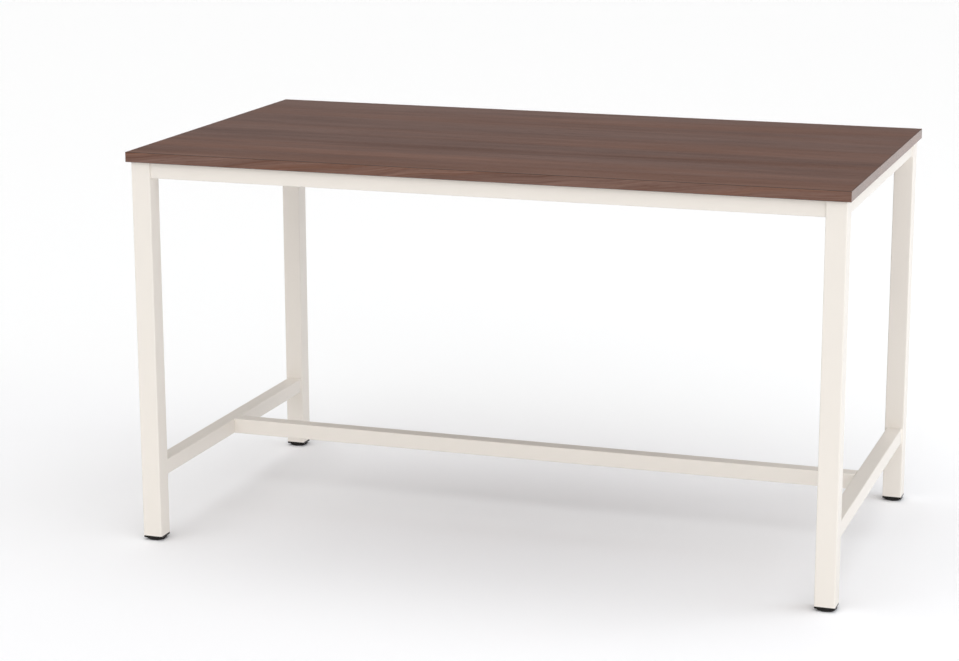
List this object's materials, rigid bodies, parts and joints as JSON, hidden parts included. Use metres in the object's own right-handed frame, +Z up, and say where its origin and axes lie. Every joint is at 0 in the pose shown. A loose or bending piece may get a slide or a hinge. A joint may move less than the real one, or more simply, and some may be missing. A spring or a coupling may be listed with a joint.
{
  "type": "standing meeting table",
  "caption": "High rectangular meeting table: laminated board on a square-tube steel frame with low end rails, a centre stretcher and levelling feet.",
  "frame": {"origin": "on the floor under the middle of the board, with the levelling feet screwed all the way in", "axes": "+X along the board's length to the right, +Y to the back, +Z up"},
  "size_m": [1.8, 1, 1],
  "materials": {
    "walnut_laminate": "satin wood print, grain along the length",
    "backing_laminate": "matt, plain brown underside sheet",
    "particle_board": "raw particle board",
    "powder_coated_steel": "fine textured powder coat, warm off-white",
    "zinc_plated_steel": "bright zinc plate",
    "black_cap_plastic": "moulded, fine grain",
    "black_pad_plastic": "moulded, satin"
  },
  "bodies": {
    "table": {"top_core": "particle_board", "top_laminate": "walnut_laminate", "top_backing": "backing_laminate", "edge_band_front": "walnut_laminate", "edge_band_back": "walnut_laminate", "edge_band_left": "walnut_laminate", "edge_band_right": "walnut_laminate", "top_fixing_angles": "powder_coated_steel", "top_fixing_washers": "zinc_plated_steel", "top_fixing_screws": "zinc_plated_steel", "top_fixing_inserts": "zinc_plated_steel", "top_rail_front": "powder_coated_steel", "top_rail_back": "powder_coated_steel", "top_rail_left": "powder_coated_steel", "top_rail_right": "powder_coated_steel", "foot_rail_left": "powder_coated_steel", "foot_rail_right": "powder_coated_steel", "centre_stretcher": "powder_coated_steel", "top_rail_end_plates": "powder_coated_steel", "leg_nut_plates": "powder_coated_steel", "top_rail_bolts": "zinc_plated_steel", "top_rail_washers": "zinc_plated_steel", "stretcher_end_plates": "powder_coated_steel", "foot_rail_nut_plates": "powder_coated_steel", "stretcher_bolts": "zinc_plated_steel", "stretcher_washers": "zinc_plated_steel", "foot_nuts": "zinc_plated_steel", "leg_front_left": "powder_coated_steel", "leg_front_right": "powder_coated_steel", "leg_back_left": "powder_coated_steel", "leg_back_right": "powder_coated_steel", "end_cap_front_left": "black_cap_plastic", "end_cap_front_right": "black_cap_plastic", "end_cap_back_left": "black_cap_plastic", "end_cap_back_right": "black_cap_plastic"},
    "pad_front_left": {"foot_pad_front_left": "black_pad_plastic"},
    "stem_front_left": {"foot_stem_front_left": "zinc_plated_steel"},
    "pad_front_right": {"foot_pad_front_right": "black_pad_plastic"},
    "stem_front_right": {"foot_stem_front_right": "zinc_plated_steel"},
    "pad_back_left": {"foot_pad_back_left": "black_pad_plastic"},
    "stem_back_left": {"foot_stem_back_left": "zinc_plated_steel"},
    "pad_back_right": {"foot_pad_back_right": "black_pad_plastic"},
    "stem_back_right": {"foot_stem_back_right": "zinc_plated_steel"}
  },
  "joints": [
    {"name": "foot_slide_front_left", "type": "slide", "parent": "table", "child": "pad_front_left", "axis": [0, 0, -1], "range_m": [0, 0.01]},
    {"name": "foot_screw_front_left", "type": "hinge", "parent": "pad_front_left", "child": "stem_front_left", "pos_m": [-0.865, -0.465, 0.0216], "axis": [0, 0, -1], "range_deg": [0, 2880]},
    {"name": "foot_slide_front_right", "type": "slide", "parent": "table", "child": "pad_front_right", "axis": [0, 0, -1], "range_m": [0, 0.01]},
    {"name": "foot_screw_front_right", "type": "hinge", "parent": "pad_front_right", "child": "stem_front_right", "pos_m": [0.865, -0.465, 0.0216], "axis": [0, 0, -1], "range_deg": [0, 2880]},
    {"name": "foot_slide_back_left", "type": "slide", "parent": "table", "child": "pad_back_left", "axis": [0, 0, -1], "range_m": [0, 0.01]},
    {"name": "foot_screw_back_left", "type": "hinge", "parent": "pad_back_left", "child": "stem_back_left", "pos_m": [-0.865, 0.465, 0.0216], "axis": [0, 0, -1], "range_deg": [0, 2880]},
    {"name": "foot_slide_back_right", "type": "slide", "parent": "table", "child": "pad_back_right", "axis": [0, 0, -1], "range_m": [0, 0.01]},
    {"name": "foot_screw_back_right", "type": "hinge", "parent": "pad_back_right", "child": "stem_back_right", "pos_m": [0.865, 0.465, 0.0216], "axis": [0, 0, -1], "range_deg": [0, 2880]}
  ],
  "couplings": [
    {"joint": "foot_screw_front_left", "follows": "foot_slide_front_left", "rad_per_m": 5026.5},
    {"joint": "foot_screw_front_right", "follows": "foot_slide_front_right", "rad_per_m": 5026.5},
    {"joint": "foot_screw_back_left", "follows": "foot_slide_back_left", "rad_per_m": 5026.5},
    {"joint": "foot_screw_back_right", "follows": "foot_slide_back_right", "rad_per_m": 5026.5}
  ]
}
